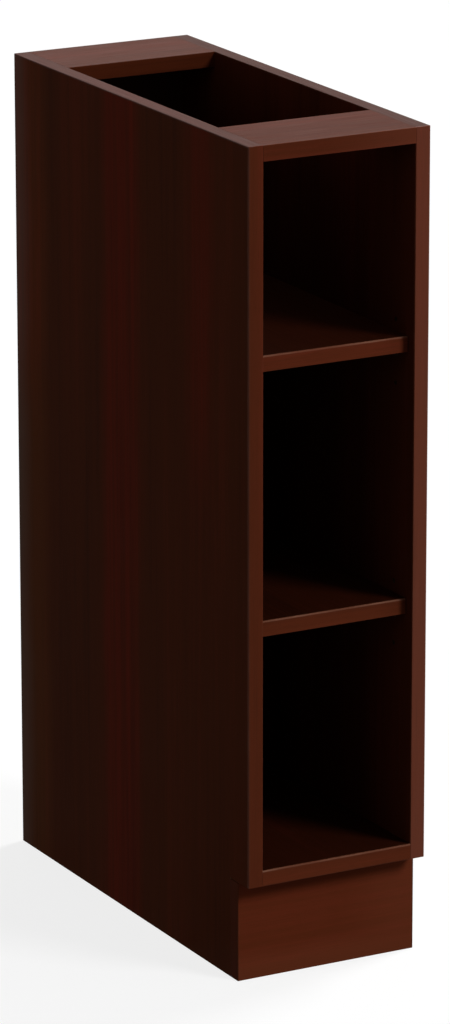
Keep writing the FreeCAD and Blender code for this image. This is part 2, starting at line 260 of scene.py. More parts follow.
# %% [markdown]
# ## The wood print
# The boards are faced with a resin film that is printed like dark mahogany. A print of wood has
# four layers: broad tones some centimetres wide, streaks of a few millimetres, fine grain, and
# short dark pores. Blender's wave texture gives rings that repeat, so each layer is a noise that is
# stretched along the grain. The same print serves the boards and the bands, so it is one function
# that takes the direction of the grain.

# %% Colours and layers of the print
DARK_BROWN = (0.040, 0.0088, 0.0034, 1.0)
MID_BROWN = (0.058, 0.0121, 0.0043, 1.0)
RED_BROWN = (0.080, 0.0140, 0.0062, 1.0)
LAYERS = {  # blobs to the metre along and across the grain, then detail, roughness, distortion
    "broad": (0.9, 17.0, 2.0, 0.55),
    "streaks": (2.2, 130.0, 4.0, 0.6, 0.3),
    "fine": (16.0, 1300.0, 2.0),
    "pores": (55.0, 2300.0, 1.0),
}
SHADE_RAMP, BLUSH_RAMP, PORE_RAMP = (0.36, 0.50), (0.50, 0.66), (0.60, 0.70)
PORE_SHARE = 0.55


def by_direction(along, across, grain):
    """Scale for each axis: along the grain one number, across it the other."""
    return tuple(along if axis == grain else across for axis in AXES)


def wood_print(recipe, grain, tone, shift):
    """Colour, gloss pattern and height of the print.

    Three noises are added: 0.45 broad + 0.35 streaks + 0.2 fine grain, and a ramp turns the sum
    into dark, middle and reddish brown. Pores are the places where a fourth noise passes a limit.
    """
    noises = {
        layer: recipe.noise(by_direction(along, across, grain), shift, *character)
        for layer, (along, across, *character) in LAYERS.items()
    }
    total = recipe.math("MULTIPLY", noises["broad"], 0.45)
    total = recipe.math("ADD", total, recipe.math("MULTIPLY", noises["streaks"], 0.35))
    total = recipe.math("ADD", total, recipe.math("MULTIPLY", noises["fine"], 0.2))
    shade = recipe.between(total, *SHADE_RAMP)
    blush = recipe.between(total, *BLUSH_RAMP)
    colour = recipe.mix(blush, recipe.mix(shade, DARK_BROWN, MID_BROWN), RED_BROWN)
    pores = recipe.between(noises["pores"], *PORE_RAMP)
    colour = recipe.mix(recipe.math("MULTIPLY", pores, PORE_SHARE), colour, DARK_BROWN)
    colour = recipe.tinted(colour, (tone, tone, tone, 1.0))
    return colour, noises["fine"], recipe.math("SUBTRACT", noises["fine"], pores)


# %% [markdown]
# ## Faced chipboard
# A board shows the print on its two large faces and raw chips wherever it is sawn or drilled. Each
# face could have a material of its own, but the chips also have to follow every hole. So one
# material tells them apart by the distance from the middle of the board's thickness: within 0.15 mm
# of a large face it is film, and further inside it is chips.

# %% Chips of a sawn edge
FILM = 0.15 * MM
CHIP_PALE = (0.52, 0.36, 0.21, 1.0)
CHIP_MID = (0.37, 0.23, 0.12, 1.0)
CHIP_DARK = (0.17, 0.095, 0.045, 1.0)
CORE_FLAKES, SKIN_FLAKES = (190.0, 620.0), (700.0, 1500.0)  # to the metre, in the plane and through
SKIN_RAMP, TONE_RAMP, GAP_RAMP = (0.55, 0.72), (0.1, 0.9), (0.62, 0.95)


def chips(recipe, flat, off_middle, shift):
    """Colour and height of sawn chipboard.

    Cells are stretched along the board's plane like pressed flakes: coarse in the core, and fine
    dust in the outer quarter on each side. Each cell takes a random tone, and its rim is a small
    dark gap.
    """
    def flakes(in_plane, through):
        scale = tuple(through if axis == flat else in_plane for axis in AXES)
        joins = {"Vector": recipe.stretched(scale, shift), "Scale": 1.0, "Randomness": 1.0}
        cells = recipe.add("ShaderNodeTexVoronoi", joins)
        tone = recipe.add("ShaderNodeSeparateColor", {0: cells.outputs["Color"]}).outputs[0]
        return tone, cells.outputs["Distance"]

    core_tone, core_gap = flakes(*CORE_FLAKES)
    skin_tone, skin_gap = flakes(*SKIN_FLAKES)
    outer = recipe.between(off_middle, *SKIN_RAMP)
    tone = recipe.blend(outer, core_tone, skin_tone)
    gap = recipe.blend(outer, core_gap, skin_gap)
    body = recipe.mix(recipe.between(tone, *TONE_RAMP), CHIP_MID, CHIP_PALE)
    colour = recipe.mix(recipe.between(gap, *GAP_RAMP), body, CHIP_DARK)
    return colour, recipe.math("MULTIPLY", gap, -1.0)


# %% [markdown]
# Boards are knocked about before and while they are fitted, and the film scuffs along their edges.
# A bevel of the mesh could carry the scuff, but the solids stay as they are. So a paler line is
# laid where a point is close to two of the board's planes at once.


# %% Distance to an edge
def edge_distance(recipe, low, high):
    """Distance to the nearest edge of a box, in metres.

    For each axis the distance to the nearer plane is taken. On a face the smallest is 0, so the
    middle one of the three is the distance to the nearest edge: the sum minus the largest and the
    smallest.
    """
    middle, half = (low + high) / 2, (high - low) / 2
    to_plane = []
    for axis in range(3):
        off = recipe.math("SUBTRACT", recipe.coordinate(axis), middle[axis])
        to_plane.append(recipe.math("SUBTRACT", half[axis], recipe.math("ABSOLUTE", off)))
    x, y, z = to_plane
    largest = recipe.math("MAXIMUM", recipe.math("MAXIMUM", x, y), z)
    smallest = recipe.math("MINIMUM", recipe.math("MINIMUM", x, y), z)
    total = recipe.math("ADD", recipe.math("ADD", x, y), z)
    return recipe.math("SUBTRACT", recipe.math("SUBTRACT", total, largest), smallest)


# %% [markdown]
# The walls of the holes lie in shade, so their chips are darkened as painted shade. A point on a
# sawn edge is never more than 8 mm, half the board's thickness, from an edge of its box, and a hole
# is further in. The toe notch is sawn too but lies well inside the box, so nothing below its top
# counts as drilled.

# %% A board's finish
SCUFF, SCUFF_WIDTH, SCUFF_SHARE = (0.115, 0.047, 0.030, 1.0), 1.2 * MM, 0.5
HOLE_PAINTED_SHADE, HOLE_RAMP = (0.09, 0.07, 0.06, 1.0), (8 * MM, 9 * MM)
NOTCH_TOP = 105 * MM
FILM_ROUGH, CHIP_ROUGH = (0.52, 0.40), 0.85
SHIFT_STEP = 0.37


def board_finish(node, grain, flat, tone, specular, marks=None):
    """Material of one faced board: grain and flat name the axes of its grain and its thickness.

    The print is shifted by a length that follows from the node's name, so that a board doesn't
    carry on the print of the one beside it.
    """
    low, high = node_box(node)
    axis = AXES.index(flat)
    shift = tuple(SHIFT_STEP * (len(node) + axis) * (k + 1) for k in range(3))
    recipe = Recipe(node + "_faced", specular)
    off = recipe.math("SUBTRACT", recipe.coordinate(axis), (low[axis] + high[axis]) / 2)
    half = (high[axis] - low[axis]) / 2
    off_middle = recipe.math("DIVIDE", recipe.math("ABSOLUTE", off), half)
    film = recipe.math("GREATER_THAN", off_middle, 1 - FILM / half)
    colour, gloss, height = wood_print(recipe, grain, tone, shift)
    if marks:
        colour = marks(recipe, colour)
    to_edge = edge_distance(recipe, low, high)
    patches = recipe.noise((240.0, 240.0, 90.0), shift, detail=3.0, roughness=0.6)
    scuffed = recipe.math("MULTIPLY", recipe.between(to_edge, 0.0, SCUFF_WIDTH, 1.0, 0.0),
                          recipe.between(patches, 0.42, 0.66))
    colour = recipe.mix(recipe.math("MULTIPLY", scuffed, SCUFF_SHARE), colour, SCUFF)
    chip_colour, chip_height = chips(recipe, flat, off_middle, shift)
    above_notch = recipe.math("GREATER_THAN", recipe.coordinate(2), NOTCH_TOP)
    # holes, away from the edges and above the notch, get a painted shade on their chips
    shaded_hole = recipe.math("MULTIPLY", recipe.between(to_edge, *HOLE_RAMP), above_notch)
    chip_colour = recipe.mix(shaded_hole, chip_colour, recipe.tinted(chip_colour, HOLE_PAINTED_SHADE))
    colour = recipe.mix(film, chip_colour, colour)
    roughness = recipe.blend(film, CHIP_ROUGH, recipe.between(gloss, 0.3, 0.7, *FILM_ROUGH))
    height = recipe.blend(film, chip_height, height)
    return recipe.finish(colour, roughness, height, depth=0.08 * MM, strength=0.25)


# %% [markdown]
# The left side shows a red streak from top to bottom behind its middle, two shorter ones in its
# upper half, and it turns a little paler and greyer towards its rear edge. A noise would put such
# marks anywhere, so they are listed as soft steps over the depth of the side, and a noise breaks
# the streaks into fibres. The right side, which the photograph hides, has the streaks at half
# strength and no pale rim. The inner faces have neither, and they are darker: a painted shade for
# the inside of the cabinet, like the low tone of the shelves.

# %% Streaks of the sides and painted shade inside
OUTER_FACE = 92 * MM
OUTER_TONE, INNER_PAINTED_SHADE = (0.96, 1.0, 0.76, 1.0), (0.80, 0.84, 0.90, 1.0)
STREAK_RED = (1.72, 0.96, 1.25, 1.0)
STREAKS = (  # front end and rear end in metres, strength, only in the upper half
    (-0.018, 0.052, 1.0, False), (-0.172, -0.127, 0.65, True), (0.190, 0.270, 0.7, True),
)
SOFTNESS, WANDER = 14 * MM, 30 * MM
RIGHT_SHARE, UPPER_HALF = 0.5, (0.42, 0.60)
REAR_RIMS = (  # where the rim starts and is full, and the colour that it adds
    (0.165, 0.205, (0.026, 0.010, 0.003, 1.0)), (0.210, 0.250, (0.020, 0.033, 0.033, 1.0)),
)


def side_streaks_and_inner_shade(recipe, colour):
    """Print of a side: red streaks along the outer grain, paler rear, painted shade inside."""
    x, y, z = (recipe.coordinate(axis) for axis in range(3))
    left = recipe.math("LESS_THAN", x, -OUTER_FACE)
    right = recipe.math("GREATER_THAN", x, OUTER_FACE)
    outside = recipe.math("ADD", left, right)
    # the inner faces get a painted shade, darker than the outer faces
    colour = recipe.tinted(colour, recipe.mix(outside, INNER_PAINTED_SHADE, OUTER_TONE))
    bend = recipe.math("SUBTRACT", recipe.noise((1.0, 1.0, 5.0)), 0.5)
    y = recipe.math("ADD", y, recipe.math("MULTIPLY", bend, WANDER))
    fibres = recipe.between(recipe.noise((1.0, 210.0, 2.0), detail=3.0, roughness=0.6),
                            0.35, 0.65, 0.5, 1.2)
    everywhere = recipe.math("ADD", left, recipe.math("MULTIPLY", right, RIGHT_SHARE))
    everywhere = recipe.math("MULTIPLY", everywhere, fibres)
    above = recipe.math("MULTIPLY", everywhere, recipe.between(z, *UPPER_HALF))
    for low, high, strength, upper in STREAKS:
        middle, half = (low + high) / 2, (high - low) / 2
        off = recipe.math("ABSOLUTE", recipe.math("SUBTRACT", y, middle))
        inside = recipe.between(off, half - SOFTNESS, half + SOFTNESS, strength, 0.0)
        inside = recipe.math("MULTIPLY", inside, above if upper else everywhere)
        colour = recipe.mix(inside, colour, recipe.tinted(colour, STREAK_RED))
    for start, full, added in REAR_RIMS:
        rim = recipe.math("MULTIPLY", recipe.between(y, start, full), left)
        colour = recipe.paler(colour, rim, added)
    return colour


# %% [markdown]
# Feet and floor cloths rub the plinth. Its grain is fainter than that of the boards, so the print
# is mixed with its own mean colour. A paler colour is added as painted light: in a low strip along
# the floor, for the light that the floor throws back, and towards the right end, where more light
# falls.

# %% Plinth with faded print and painted light
PLINTH_PLAIN, PLINTH_FADED = (0.097, 0.0195, 0.0068, 1.0), 0.45
PLINTH_PAINTED_LIGHT = (0.0205, 0.0071, 0.0038, 1.0)
FLOOR_BOUNCE_STRIP, PLINTH_RIGHT_LIGHT = (8 * MM, 35 * MM), (10 * MM, 90 * MM)


def plinth_fade_and_light(recipe, colour):
    """The print half faded to its mean colour, plus painted light at the floor and right end."""
    colour = recipe.mix(PLINTH_FADED, colour, PLINTH_PLAIN)
    floor_bounce = recipe.between(recipe.coordinate(2), *FLOOR_BOUNCE_STRIP, 1.0, 0.0)
    right_light = recipe.between(recipe.coordinate(0), *PLINTH_RIGHT_LIGHT, 0.0, 0.75)
    # the paler colour along the floor and at the right end is painted light
    return recipe.paler(colour, recipe.math("MAXIMUM", floor_bounce, right_light), PLINTH_PAINTED_LIGHT)


# %% [markdown]
# The boards are sawn from the same sheets, so they share one recipe, and a table holds what differs
# between them. The grain runs the long way of each board. The tone sets how bright the print is.
# It is low on the shelves and the bottom, which the photograph shows darker than the outside, as a
# painted shade of the cabinet's inside. The specular level stays far below its usual 0.5, because
# the film is dull.

# %% Finishes of the boards
MARKS = {
    "left_side_board": side_streaks_and_inner_shade,
    "right_side_board": side_streaks_and_inner_shade,
    "plinth_board": plinth_fade_and_light,
}
BOARDS = {  # grain, thickness, tone, specular level
    "left_side_board": ("Z", "X", 1.12, 0.003),
    "right_side_board": ("Z", "X", 1.12, 0.003),
    # the low tone 0.37 of the next three boards is painted shade of the cabinet's inside
    "bottom_board": ("Y", "Z", 0.37, 0.006),
    "upper_shelf": ("Y", "Z", 0.37, 0.006),
    "lower_shelf": ("Y", "Z", 0.37, 0.006),
    "front_top_rail": ("X", "Z", 1.2, 0.029),
    "rear_top_rail": ("X", "Z", 1.25, 0.04),
    "plinth_board": ("X", "Y", 1.5, 0.012),
}


def dress(node, finish):
    """Gives a solid its finish."""
    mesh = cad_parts[node].data
    mesh.materials.clear()
    mesh.materials.append(finish)


for node, (grain, flat, tone, specular) in BOARDS.items():
    dress(node, board_finish(node, grain, flat, tone, specular, MARKS.get(node)))
print(len(BOARDS), "boards are faced")

# %% [markdown]
# ## Hardboard
# The back panel is pressed wood fibre. Its face towards the goods is painted dark like the boards,
# and its rear face is bare brown with the imprint of the press's wire screen, a small square weave.
# The weave is far too fine for a mesh, so it is the product of two sines in the bump.

# %% Back panel
PANEL_PAINT, PANEL_SHIFT = 0.3, (0.3, 0.1, 0.7)
FIBRE_DARK, FIBRE_PALE = (0.15, 0.078, 0.040, 1.0), (0.27, 0.150, 0.080, 1.0)
FIBRE_CLOUD = (0.20, 0.105, 0.052, 1.0)
SCREEN_PITCH = 1.4 * MM


def hardboard_finish(node):
    """Dark paint on the front face, bare fibre with a screen imprint everywhere else.

    The imprint is the product of a sine along X and one along Z, with the pitch of the screen.
    """
    low, high = node_box(node)
    recipe = Recipe("hardboard", 0.05)
    painted = recipe.math("LESS_THAN", recipe.coordinate(1), low[1] + FILM)
    paint, gloss, print_height = wood_print(recipe, "Z", PANEL_PAINT, PANEL_SHIFT)
    turns = [recipe.math("MULTIPLY", recipe.coordinate(axis), 2 * np.pi / SCREEN_PITCH)
             for axis in (0, 2)]
    imprint = recipe.math("MULTIPLY", *(recipe.math("SINE", turn) for turn in turns))
    fibre = recipe.noise((260.0,) * 3, detail=5.0, roughness=0.65, distortion=1.5)
    clouds = recipe.between(recipe.noise((9.0,) * 3), 0.3, 0.7, 0.0, 0.35)
    bare = recipe.mix(recipe.between(fibre, 0.3, 0.7), FIBRE_DARK, FIBRE_PALE)
    bare = recipe.mix(clouds, bare, FIBRE_CLOUD)
    colour = recipe.mix(painted, bare, paint)
    roughness = recipe.blend(painted, 0.8, 0.5)
    screen = recipe.math("ADD", recipe.math("MULTIPLY", imprint, 0.5), fibre)
    height = recipe.blend(painted, screen, print_height)
    return recipe.finish(colour, roughness, height, depth=0.12 * MM, strength=0.4)


dress("back_panel", hardboard_finish("back_panel"))

# %% [markdown]
# ## Edge bands
# The open edges are closed with bands of plastic in the print's colour: 2 mm thick on the front
# edges, with milled arrises, and 1 mm elsewhere. The front edges are what one sees first. A Bevel
# modifier would round both arrises alike, so each band is built as its true section carried along
# the edge. Goods rub the upper arris of a level band, and the upright bands stay nearly new. The
# same wear number also places a painted highlight on the arrises that face the light.

# %% Section of a band
BESIDE_ARRIS = 0.7 * MM


def band_section(width, thickness, radii, wears_and_highlights, steps=9):
    """Outline of a band as (across, out), and its wear.

    It starts at the glued side and goes round one outer arris, over the face and round the other
    arris. An arris is a quarter circle: its centre plus radius * (cos t, sin t). Its wear grows
    and falls with the root of sin 2t, and one more point beside it ends the wear close to it.
    """
    turn = np.linspace(0, np.pi / 2, steps)
    halves, worn = [], []
    for radius, wear_and_highlight in zip(radii, wears_and_highlights):
        arris = np.stack([width / 2 - radius + radius * np.cos(turn),
                          thickness - radius + radius * np.sin(turn)], axis=1)
        beside = [[width / 2 - radius - BESIDE_ARRIS, thickness]]
        halves.append(np.concatenate([[[width / 2, 0.0]], arris, beside]))
        worn.append(wear_and_highlight * np.concatenate([[0.0], np.sin(turn * 2) ** 0.5 * 0.9 + 0.1, [0.0]]))
    outline = np.concatenate([halves[0], halves[1][::-1] * [-1, 1]])
    return outline, np.concatenate([worn[0], worn[1][::-1]])


# %% [markdown]
# The section is carried along the longest side of the band's solid, from one end of its box to the
# other. At both ends it draws in a little, so that the joints between bands show as a hairline.

# %% A band on a board's edge
TRIM = 0.04 * MM


def band_rings(node, along, out, radii, wears_and_highlights):
    """Rings of a band in the box of its solid, and their wear.

    The first radius and wear are those of the arris that lies further up, or further to the right
    on an upright band. The rings stand at both ends and one trim inside them, and each end ring is
    smaller by two trims.
    """
    low, high = node_box(node)
    out = np.array(out, float)
    along_axis, out_axis = AXES.index(along), int(np.abs(out).argmax())
    across_axis = 3 - along_axis - out_axis
    size = high - low
    outline, worn = band_section(size[across_axis], size[out_axis], radii, wears_and_highlights)
    start, end = low[along_axis], high[along_axis]
    stations = np.array([start, start + TRIM, end - TRIM, end])
    drawn = 1 - TRIM / size[[across_axis, out_axis]] * np.array([[2], [0], [0], [2]])
    sections = outline[None] * drawn[:, None, :]
    sign = out[out_axis]
    glued = low[out_axis] if sign > 0 else high[out_axis]
    rings = np.empty((len(stations), len(outline), 3))
    rings[..., along_axis] = stations[:, None]
    rings[..., across_axis] = (low + high)[across_axis] / 2 + sections[..., 0]
    rings[..., out_axis] = glued + sign * sections[..., 1]
    return rings, worn


# %% [markdown]
# The band's plastic is a little glossier than the film on the boards, and its print runs the long
# way of the band. The wear number that came with the section lightens the arrises where a cloth has
# rubbed them, and that paler colour is also a painted highlight. The front rail's band turns paler
# towards the right, by an added colour that is a painted sheen.

# %% Finishes of the bands
RUB_AND_HIGHLIGHT = (0.20, 0.095, 0.062, 1.0)
RAIL_PAINTED_SHEEN, RAIL_SHEEN_RAMP = (0.038, 0.012, 0.0075, 1.0), (-30 * MM, 100 * MM)
BAND_SHIFT, BAND_ROUGH = (1.3, 0.7, 2.1), (0.44, 0.34)


def band_finish(name, grain, tone, specular, painted_sheen=None):
    """Semi-gloss printed plastic; painted highlight on rubbed arrises; painted sheen at right."""
    recipe = Recipe(name, specular)
    colour, gloss, height = wood_print(recipe, grain, tone, BAND_SHIFT)
    if painted_sheen:
        # the added colour is a painted sheen that grows towards the right
        share = recipe.between(recipe.coordinate(0), *RAIL_SHEEN_RAMP)
        colour = recipe.paler(colour, share, painted_sheen)
    patches = recipe.noise(by_direction(14.0, 60.0, grain), detail=3.0, roughness=0.6)
    patches = recipe.between(patches, 0.35, 0.7, 0.35, 0.95)
    # the pale colour on the arrises is rubbed wear and also a painted highlight
    colour = recipe.mix(recipe.math("MULTIPLY", recipe.wear_and_highlight(), patches), colour, RUB_AND_HIGHLIGHT)
    roughness = recipe.between(gloss, 0.3, 0.7, *BAND_ROUGH)
    return recipe.finish(colour, roughness, height, depth=0.05 * MM, strength=0.15)


upright_band = band_finish("band_upright", "Z", 1.44, 0.032)
# the right upright has a high tone as painted light: a brighter copy of the upright band
lit_right_upright_band = band_finish("band_upright_right_painted_light", "Z", 1.92, 0.155)
level_band = band_finish("band_level", "X", 1.60, 0.03)
rail_band = band_finish("band_rail", "X", 1.36, 0.03, RAIL_PAINTED_SHEEN)
# the rear rail's band has a low tone as painted shade: a darker copy of the level band
shaded_rear_level_band = band_finish("band_rear_level_painted_shade", "X", 1.06, 0.03)
deep_band = band_finish("band_deep", "Y", 0.95, 0.030)
plinth_end_band = band_finish("band_plinth_end", "Z", 1.2, 0.003)

# %% [markdown]
# Now every band is made. The outer arris of an upright and the upper arris of a shelf, which hands
# and goods meet, are milled to the full radius. An arris beside a joint stays finer, so that two
# bands meet without a groove.

# %% The bands in place
FRONT, UP, LEFT, RIGHT = (0, -1, 0), (0, 0, 1), (-1, 0, 0), (1, 0, 0)
FULL, FINE, THIN = 1.6 * MM, 0.6 * MM, 0.4 * MM
# the wear of each arris also places a painted highlight on it
BANDS = {  # along, out, radii and wears of the two arrises, finish
    "left_side_front_band": ("Z", FRONT, (FINE, FULL), (0.1, 0.3), upright_band),
    "right_side_front_band": ("Z", FRONT, (FULL, FINE), (0.3, 0.1), lit_right_upright_band),
    "front_rail_band": ("X", FRONT, (THIN, FINE), (0.4, 0.1), rail_band),
    "rear_rail_band": ("X", FRONT, (THIN, FINE), (0.4, 0.1), shaded_rear_level_band),
    "bottom_board_band": ("X", FRONT, (FULL, FINE), (1.0, 0.1), level_band),
    "upper_shelf_band": ("X", FRONT, (FULL, FINE), (1.0, 0.1), level_band),
    "lower_shelf_band": ("X", FRONT, (FULL, FINE), (1.0, 0.1), level_band),
    "left_side_top_band": ("Y", UP, (THIN, THIN), (0.5, 0.5), deep_band),
    "right_side_top_band": ("Y", UP, (THIN, THIN), (0.5, 0.5), deep_band),
    "left_plinth_end_band": ("Z", LEFT, (THIN, THIN), (0.3, 0.3), plinth_end_band),
    "right_plinth_end_band": ("Z", RIGHT, (THIN, THIN), (0.3, 0.3), plinth_end_band),
}
for node, (along, out, radii, wears_and_highlights, finish) in BANDS.items():
    body = node.removesuffix("_band") if "shelf" in node else "carcass"
    surface = band_rings(node, along, out, radii, wears_and_highlights)
    make_piece(node + "_milled", [surface], finish, body, [node])

# %% [markdown]
# ## Shelf supports
# Each shelf lies on four moulded supports: a peg in the side board, a collar against it, a tray
# under the shelf and a thin rib that stiffens the tray. A cylinder and cubes could stand for them,
# but moulded plastic has no sharp edge. Peg, collar and tray are all the same shape with other
# numbers: a slab whose outline has rounded corners, and a peg is a slab whose corners meet in a
# circle.


# %% Outline with rounded corners
def rounded_outline(size, radii, steps=6):
    """Points around a rectangle with its middle at 0, whose four corners have their own radii.

    Corner k is a quarter circle that starts at k quarter turns: its centre plus
    radius * (cos, sin).
    """
    signs = np.array([[1, 1], [-1, 1], [-1, -1], [1, -1]])
    centres = signs * (np.array(size) / 2 - radii[:, None])
    turn = (np.arange(4)[:, None] + np.linspace(0, 1, steps)) * np.pi / 2
    arcs = radii[:, None, None] * np.stack([np.cos(turn), np.sin(turn)], axis=-1)
    return (centres[:, None] + arcs).reshape(-1, 2)


# %% A slab with soft edges
def soft_slab(low, high, through, corners, edge, steps=4):
    """Rings of a slab from corner low to corner high, and its wear.

    The rings lie one over the other along the through axis. Near both faces the outline draws in
    along a quarter circle of radius edge: by edge * (1 - sin t), where the height is
    edge * (1 - cos t).
    """
    low, high = np.array(low, float), np.array(high, float)
    axis = AXES.index(through)
    flat = [k for k in range(3) if k != axis]
    turn = np.linspace(0, np.pi / 2, steps)
    inset = edge * (1 - np.sin(turn))
    rise = edge * (1 - np.cos(turn))
    insets = np.concatenate([inset, inset[::-1]])
    heights = np.concatenate([low[axis] + rise, high[axis] - rise[::-1]])
    size, middle = (high - low)[flat], ((high + low) / 2)[flat]
    radii = np.array(corners, float)
    outlines = [rounded_outline(size - 2 * draw, radii - draw) for draw in insets]
    outlines = np.stack(outlines) + middle
    rings = np.empty((*outlines.shape[:2], 3))
    rings[..., flat] = outlines
    rings[..., axis] = heights[:, None]
    return rings, (insets > 0)[:, None] * 1.0


# %% [markdown]
# The rib fills the corner between tray and collar. Its free edge is hollow, which saves plastic and
# lets the support leave its mould.

# %% A rib under a tray
RIB_SUNK = 0.3 * MM


def hollow_rib(x, y, z, reach, drop, thick, steps=10):
    """Rings of a rib in the corner at x and z, under a tray that reaches towards -X, and its wear.

    Its free edge is a hollow quarter ellipse: the corner plus
    (-reach * (1 - cos t), -drop * (1 - sin t)). The outline goes on a little into the tray and the
    collar, and draws in by a twentieth at both faces.
    """
    turn = np.linspace(0, np.pi / 2, steps)
    edge = np.stack([-reach * (1 - np.cos(turn)), -drop * (1 - np.sin(turn))], axis=1)
    corner = [[RIB_SUNK, RIB_SUNK], [RIB_SUNK, -drop]]
    outline = np.concatenate([corner, edge, [[-reach, RIB_SUNK]]])
    middle = outline.mean(axis=0)
    sections = middle + (outline - middle) * np.array([0.95, 1, 1, 0.95])[:, None, None]
    rings = np.empty((*sections.shape[:2], 3))
    rings[..., 0] = x + sections[..., 0]
    rings[..., 1] = y + thick / 2 * np.array([-1, -0.8, 0.8, 1])[:, None]
    rings[..., 2] = z + sections[..., 1]
    return rings, 0.0


# %% [markdown]
# The supports are moulded in dark brown to match the decor. A plain colour would look like paint,
# so the skin is slightly grainy from the mould, and the edges of the tray are polished by the shelf
# that slides over them.

# %% Finish of the supports
PLASTIC, PLASTIC_DARK = (0.021, 0.0082, 0.0050, 1.0), (0.012, 0.005, 0.0035, 1.0)
PLASTIC_WORN = (0.045, 0.022, 0.015, 1.0)


def moulded_finish():
    """Dark brown plastic with a fine grain, paler and smoother on worn edges."""
    recipe = Recipe("brown_plastic", 0.06)
    grain = recipe.noise((2600.0,) * 3)
    flow = recipe.noise((180.0,) * 3, detail=3.0)
    rubbed = recipe.math("MULTIPLY", recipe.wear_and_highlight(), recipe.between(flow, 0.35, 0.65, 0.1, 0.6))
    dull = recipe.mix(recipe.between(flow, 0.3, 0.7, 0.0, 0.35), PLASTIC, PLASTIC_DARK)
    colour = recipe.mix(rubbed, dull, PLASTIC_WORN)
    roughness = recipe.between(rubbed, 0.0, 0.5, 0.55, 0.36)
    return recipe.finish(colour, roughness, grain, depth=0.03 * MM)


brown_plastic = moulded_finish()

# %% [markdown]
# One support is worked out for the right side, and the one opposite is its mirror image: the same
# points with X turned round. The faces of the mirrored ones are turned back by pointing_out.

# %% One support
PEG, COLLAR, TRAY, RIB = 2.45 * MM, 1.2 * MM, 1.8 * MM, 1.6 * MM
REACH, HALF_WIDE, CORNER, SHARP = 11 * MM, 5 * MM, 2 * MM, 0.4 * MM
PEG_EDGE, COLLAR_EDGE, TRAY_EDGE = 0.5 * MM, 0.3 * MM, 0.35 * MM
MIRROR = [-1, 1, 1]


def support(wall, y, tip, foot, top):
    """Four surfaces of a support in the right side board.

    The peg goes from the wall to its tip, both along X, and the support from foot to top along Z.
    """
    collar_x, peg_z = wall - COLLAR, (foot + top) / 2
    peg = soft_slab((wall - COLLAR / 2, y - PEG, peg_z - PEG), (tip, y + PEG, peg_z + PEG), "X",
                    (PEG,) * 4, PEG_EDGE)
    collar = soft_slab((collar_x, y - HALF_WIDE, foot), (wall, y + HALF_WIDE, top), "X",
                       (SHARP, SHARP, CORNER, CORNER), COLLAR_EDGE)
    tray = soft_slab((wall - REACH, y - HALF_WIDE, top - TRAY), (wall, y + HALF_WIDE, top), "Z",
                     (SHARP, CORNER, CORNER, SHARP), TRAY_EDGE)
    rib = hollow_rib(collar_x, y, top - TRAY, REACH - CORNER - COLLAR,
                     top - TRAY - foot - CORNER, RIB)
    return [peg, collar, tray, rib]


# %% The supports in place
wall = node_box("right_side_board")[0][0]
for shelf in ("upper_shelf", "lower_shelf"):
    node = shelf + "_supports"
    low, high = node_box(node)
    surfaces = []
    for y in (low[1] + HALF_WIDE, high[1] - HALF_WIDE):
        right = support(wall, y, high[0], low[2], high[2])
        surfaces += right + [(rings * MIRROR, wear_and_highlight) for rings, wear_and_highlight in right]
    make_piece(node + "_moulded", surfaces, brown_plastic, "carcass", [node])

# %% [markdown]
# ## Metal and dowels
# The hardware has two looks: grey cast zinc and bright plated steel. Metal has no colour of its own
# from paint, so the shader is set to metallic, and what differs is roughness and the small marks.
# One function with a few numbers makes both.


# %% Metal finishes
def metal_finish(name, colour, roughness, grain, depth):
    """Metal with soft blotches in its roughness and a fine skin.

    Blotches are noise at 150 to the metre, and the skin is noise at grain to the metre.
    """
    recipe = Recipe(name, 0.5, metallic=1.0)
    blotches = recipe.noise((150.0,) * 3, detail=3.0, roughness=0.6)
    skin = recipe.noise((grain,) * 3)
    dull = tuple(0.72 * part for part in colour)
    share = recipe.between(blotches, 0.35, 0.75, 0.0, 0.6)
    mottled = recipe.mix(share, (*colour, 1), (*dull, 1))
    rough = recipe.between(blotches, 0.3, 0.7, roughness - 0.06, roughness + 0.1)
    return recipe.finish(mottled, rough, skin, depth, strength=0.35)


cast_zinc = metal_finish("cast_zinc", (0.60, 0.60, 0.58), 0.46, 1800.0, 0.08 * MM)
plated_steel = metal_finish("plated_steel", (0.66, 0.66, 0.63), 0.30, 900.0, 0.03 * MM)

# %% [markdown]
# The dowels are raw beech, which shows short dark flecks and no rings at this size. Stretched noise
# gives both the flecks and the soft change of tone.

# %% Beech finish
BEECH_DARK, BEECH_PALE = (0.62, 0.43, 0.26, 1.0), (0.74, 0.55, 0.36, 1.0)
BEECH_FLECK = (0.40, 0.24, 0.12, 1.0)


def beech_finish():
    """Raw beech: pale, with short darker flecks along the dowel."""
    recipe = Recipe("beech", 0.2)
    flecks = recipe.noise((120.0, 1500.0, 1500.0))
    tone = recipe.noise((20.0, 200.0, 200.0), detail=3.0)
    colour = recipe.mix(recipe.between(tone, 0.3, 0.7), BEECH_DARK, BEECH_PALE)
    colour = recipe.mix(recipe.between(flecks, 0.58, 0.7, 0.0, 0.6), colour, BEECH_FLECK)
    return recipe.finish(colour, 0.7, flecks, depth=0.05 * MM)


beech = beech_finish()

# %% [markdown]
# Cam locks, bolts, dowels, screws, nails and brackets have plain turned or bent forms. They could
# be spun from profiles here, but their solids already have these forms. So they keep their solids,
# and the ending of a node's name says which finish it gets.

# %% Hardware that keeps its solids
HARDWARE = {
    "cam_locks": cast_zinc, "cam_bolts": plated_steel, "dowels": beech,
    "plinth_bracket": plated_steel, "bracket_screws": plated_steel, "nails": plated_steel,
}
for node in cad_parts:
    for ending, finish in HARDWARE.items():
        if node.endswith(ending):
            dress(node, finish)
            print(node, "is", finish.name)

